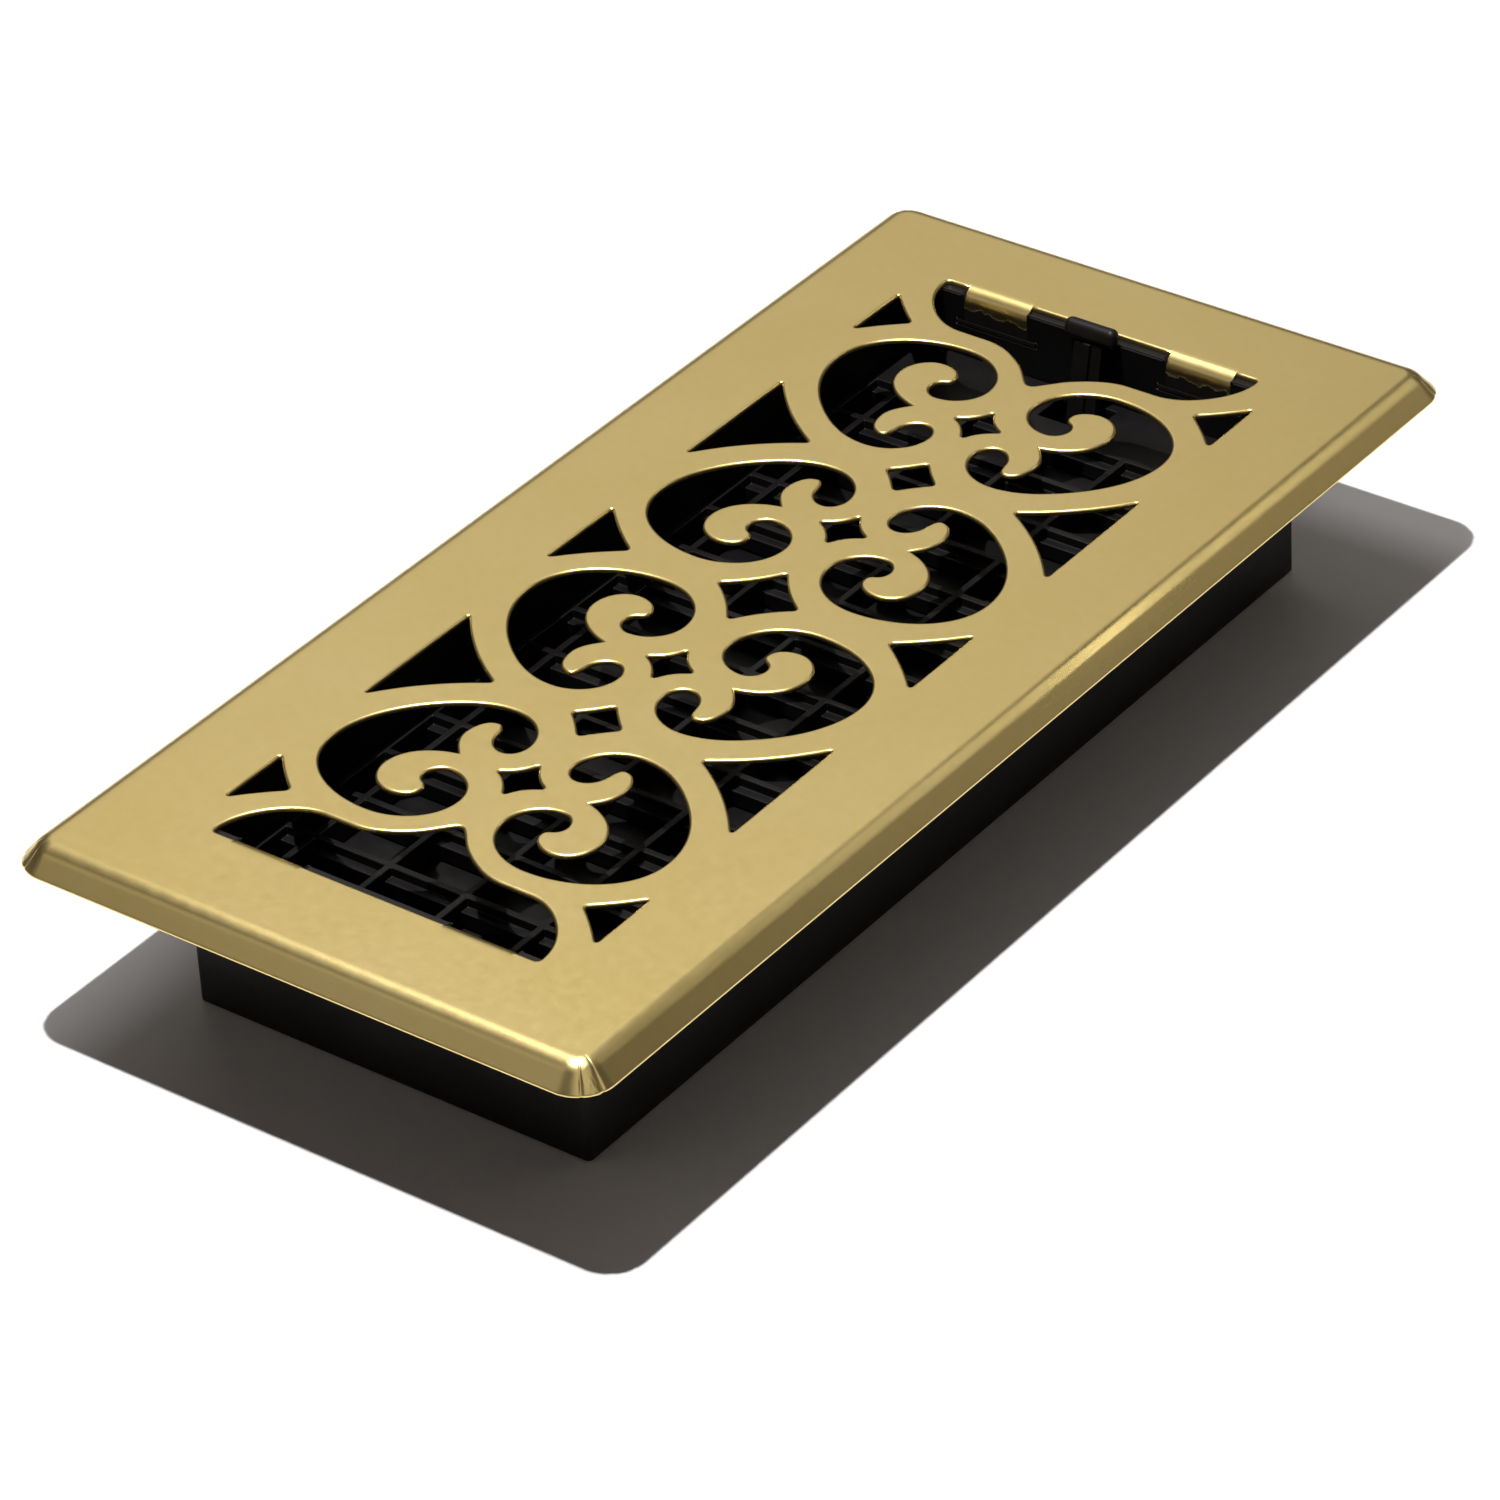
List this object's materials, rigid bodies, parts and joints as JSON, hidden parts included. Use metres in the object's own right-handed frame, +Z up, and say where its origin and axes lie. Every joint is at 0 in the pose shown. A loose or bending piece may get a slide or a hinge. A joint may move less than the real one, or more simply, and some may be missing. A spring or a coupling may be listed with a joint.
{
  "type": "louvred air grille",
  "caption": "Floor register with a pressed brass scroll faceplate over a black damper box, whose louvre blades are opened and closed by a thumb lever.",
  "frame": {"origin": "middle of the foot of the damper box, on the surface that it stands on", "axes": "+Z up out of the face, +Y along the length towards the thumb lever, +X across the width"},
  "size_m": [0.1396, 0.2922, 0.0463],
  "materials": {
    "satin_brass": "satin brass with fine grain, brighter on its rounded edges",
    "black_plastic": "moulded black plastic, slightly glossy on edges"
  },
  "bodies": {
    "housing": {"faceplate": "satin_brass", "damper_box": "black_plastic", "support_lattice": "black_plastic"},
    "lever": {"thumb_lever": "black_plastic"},
    "link": {"link_bar": "black_plastic"},
    "blade_1": {"louvre_blade_1": "black_plastic"},
    "blade_2": {"louvre_blade_2": "black_plastic"},
    "blade_3": {"louvre_blade_3": "black_plastic"},
    "blade_4": {"louvre_blade_4": "black_plastic"},
    "blade_5": {"louvre_blade_5": "black_plastic"},
    "blade_6": {"louvre_blade_6": "black_plastic"},
    "blade_7": {"louvre_blade_7": "black_plastic"},
    "blade_8": {"louvre_blade_8": "black_plastic"},
    "blade_9": {"louvre_blade_9": "black_plastic"},
    "blade_10": {"louvre_blade_10": "black_plastic"},
    "blade_11": {"louvre_blade_11": "black_plastic"},
    "blade_12": {"louvre_blade_12": "black_plastic"},
    "blade_13": {"louvre_blade_13": "black_plastic"},
    "blade_14": {"louvre_blade_14": "black_plastic"}
  },
  "joints": [
    {"name": "lever_swing", "type": "hinge", "parent": "housing", "child": "lever", "pos_m": [0, 0.112, 0.02024], "axis": [1, 0, 0], "range_deg": [0, 34]},
    {"name": "link_slide", "type": "slide", "parent": "housing", "child": "link", "axis": [0, 1, 0], "range_m": [0, 0.00646]},
    {"name": "blade_1_turn", "type": "hinge", "parent": "housing", "child": "blade_1", "pos_m": [0, -0.09557, 0.02024], "axis": [1, 0, 0], "range_deg": [0, 84]},
    {"name": "blade_2_turn", "type": "hinge", "parent": "housing", "child": "blade_2", "pos_m": [0, -0.0805, 0.02024], "axis": [1, 0, 0], "range_deg": [0, 84]},
    {"name": "blade_3_turn", "type": "hinge", "parent": "housing", "child": "blade_3", "pos_m": [0, -0.06542, 0.02024], "axis": [1, 0, 0], "range_deg": [0, 84]},
    {"name": "blade_4_turn", "type": "hinge", "parent": "housing", "child": "blade_4", "pos_m": [0, -0.05035, 0.02024], "axis": [1, 0, 0], "range_deg": [0, 84]},
    {"name": "blade_5_turn", "type": "hinge", "parent": "housing", "child": "blade_5", "pos_m": [0, -0.03528, 0.02024], "axis": [1, 0, 0], "range_deg": [0, 84]},
    {"name": "blade_6_turn", "type": "hinge", "parent": "housing", "child": "blade_6", "pos_m": [0, -0.0202, 0.02024], "axis": [1, 0, 0], "range_deg": [0, 84]},
    {"name": "blade_7_turn", "type": "hinge", "parent": "housing", "child": "blade_7", "pos_m": [0, -0.00513, 0.02024], "axis": [1, 0, 0], "range_deg": [0, 84]},
    {"name": "blade_8_turn", "type": "hinge", "parent": "housing", "child": "blade_8", "pos_m": [0, 0.00995, 0.02024], "axis": [1, 0, 0], "range_deg": [0, 84]},
    {"name": "blade_9_turn", "type": "hinge", "parent": "housing", "child": "blade_9", "pos_m": [0, 0.02502, 0.02024], "axis": [1, 0, 0], "range_deg": [0, 84]},
    {"name": "blade_10_turn", "type": "hinge", "parent": "housing", "child": "blade_10", "pos_m": [0, 0.0401, 0.02024], "axis": [1, 0, 0], "range_deg": [0, 84]},
    {"name": "blade_11_turn", "type": "hinge", "parent": "housing", "child": "blade_11", "pos_m": [0, 0.05518, 0.02024], "axis": [1, 0, 0], "range_deg": [0, 84]},
    {"name": "blade_12_turn", "type": "hinge", "parent": "housing", "child": "blade_12", "pos_m": [0, 0.07025, 0.02024], "axis": [1, 0, 0], "range_deg": [0, 84]},
    {"name": "blade_13_turn", "type": "hinge", "parent": "housing", "child": "blade_13", "pos_m": [0, 0.08532, 0.02024], "axis": [1, 0, 0], "range_deg": [0, 84]},
    {"name": "blade_14_turn", "type": "hinge", "parent": "housing", "child": "blade_14", "pos_m": [0, 0.1004, 0.02024], "axis": [1, 0, 0], "range_deg": [0, 84]}
  ],
  "couplings": [
    {"joint": "link_slide", "follows": "lever_swing", "m_per_rad": 0.010879},
    {"joint": "blade_1_turn", "follows": "lever_swing", "ratio": 2.4706},
    {"joint": "blade_2_turn", "follows": "lever_swing", "ratio": 2.4706},
    {"joint": "blade_3_turn", "follows": "lever_swing", "ratio": 2.4706},
    {"joint": "blade_4_turn", "follows": "lever_swing", "ratio": 2.4706},
    {"joint": "blade_5_turn", "follows": "lever_swing", "ratio": 2.4706},
    {"joint": "blade_6_turn", "follows": "lever_swing", "ratio": 2.4706},
    {"joint": "blade_7_turn", "follows": "lever_swing", "ratio": 2.4706},
    {"joint": "blade_8_turn", "follows": "lever_swing", "ratio": 2.4706},
    {"joint": "blade_9_turn", "follows": "lever_swing", "ratio": 2.4706},
    {"joint": "blade_10_turn", "follows": "lever_swing", "ratio": 2.4706},
    {"joint": "blade_11_turn", "follows": "lever_swing", "ratio": 2.4706},
    {"joint": "blade_12_turn", "follows": "lever_swing", "ratio": 2.4706},
    {"joint": "blade_13_turn", "follows": "lever_swing", "ratio": 2.4706},
    {"joint": "blade_14_turn", "follows": "lever_swing", "ratio": 2.4706}
  ]
}
